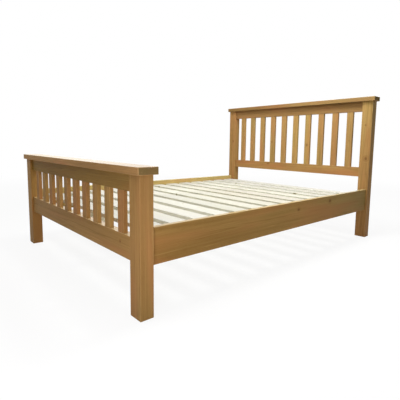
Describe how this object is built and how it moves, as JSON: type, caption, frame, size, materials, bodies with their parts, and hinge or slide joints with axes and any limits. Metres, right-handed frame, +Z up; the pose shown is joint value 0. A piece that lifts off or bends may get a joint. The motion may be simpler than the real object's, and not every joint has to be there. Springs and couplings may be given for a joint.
{
  "type": "wooden bed frame",
  "caption": "Timber bedstead: slatted headboard and footboard under rounded caps, deep side rails, and a base of loose slats on ledges and a centre rail.",
  "frame": {"origin": "on the floor, under the centre of the bed's overall box", "axes": "+X to the right seen from the foot end, +Y along the bed from the foot to the head, +Z up"},
  "size_m": [1.5, 2.064, 1.0603],
  "materials": {
    "oak": "warm golden-brown oak under satin lacquer, straight grain with a few knots",
    "whitewood": "bare planed softwood, pale cream, with small knots",
    "zinc_steel": "zinc-plated steel, slightly dull"
  },
  "bodies": {
    "root": {"foot_post_left": "oak", "foot_post_right": "oak", "foot_cap": "oak", "foot_top_rail": "oak", "foot_bottom_rail": "oak", "foot_slat_01": "oak", "foot_slat_02": "oak", "foot_slat_03": "oak", "foot_slat_04": "oak", "foot_slat_05": "oak", "foot_slat_06": "oak", "foot_slat_07": "oak", "foot_slat_08": "oak", "foot_slat_09": "oak", "foot_slat_10": "oak", "head_post_left": "oak", "head_post_right": "oak", "head_cap": "oak", "head_top_rail": "oak", "head_lower_rail": "oak", "head_cross_rail": "oak", "head_slat_01": "oak", "head_slat_02": "oak", "head_slat_03": "oak", "head_slat_04": "oak", "head_slat_05": "oak", "head_slat_06": "oak", "head_slat_07": "oak", "head_slat_08": "oak", "head_slat_09": "oak", "head_slat_10": "oak", "side_rail_left": "oak", "side_rail_right": "oak", "slat_ledge_left": "whitewood", "slat_ledge_right": "whitewood", "base_slat_01": "whitewood", "base_slat_02": "whitewood", "base_slat_03": "whitewood", "base_slat_04": "whitewood", "base_slat_05": "whitewood", "base_slat_06": "whitewood", "base_slat_07": "whitewood", "base_slat_08": "whitewood", "base_slat_09": "whitewood", "base_slat_10": "whitewood", "base_slat_11": "whitewood", "base_slat_12": "whitewood", "base_slat_13": "whitewood", "centre_rail": "whitewood", "centre_leg": "whitewood", "cradle_foot": "zinc_steel", "cradle_head": "zinc_steel", "stud_foot_left": "zinc_steel", "stud_foot_right": "zinc_steel", "stud_head_left": "zinc_steel", "stud_head_right": "zinc_steel", "crescent_nut_foot_left": "zinc_steel", "crescent_nut_foot_right": "zinc_steel", "crescent_nut_head_left": "zinc_steel", "crescent_nut_head_right": "zinc_steel"}
  },
  "joints": []
}
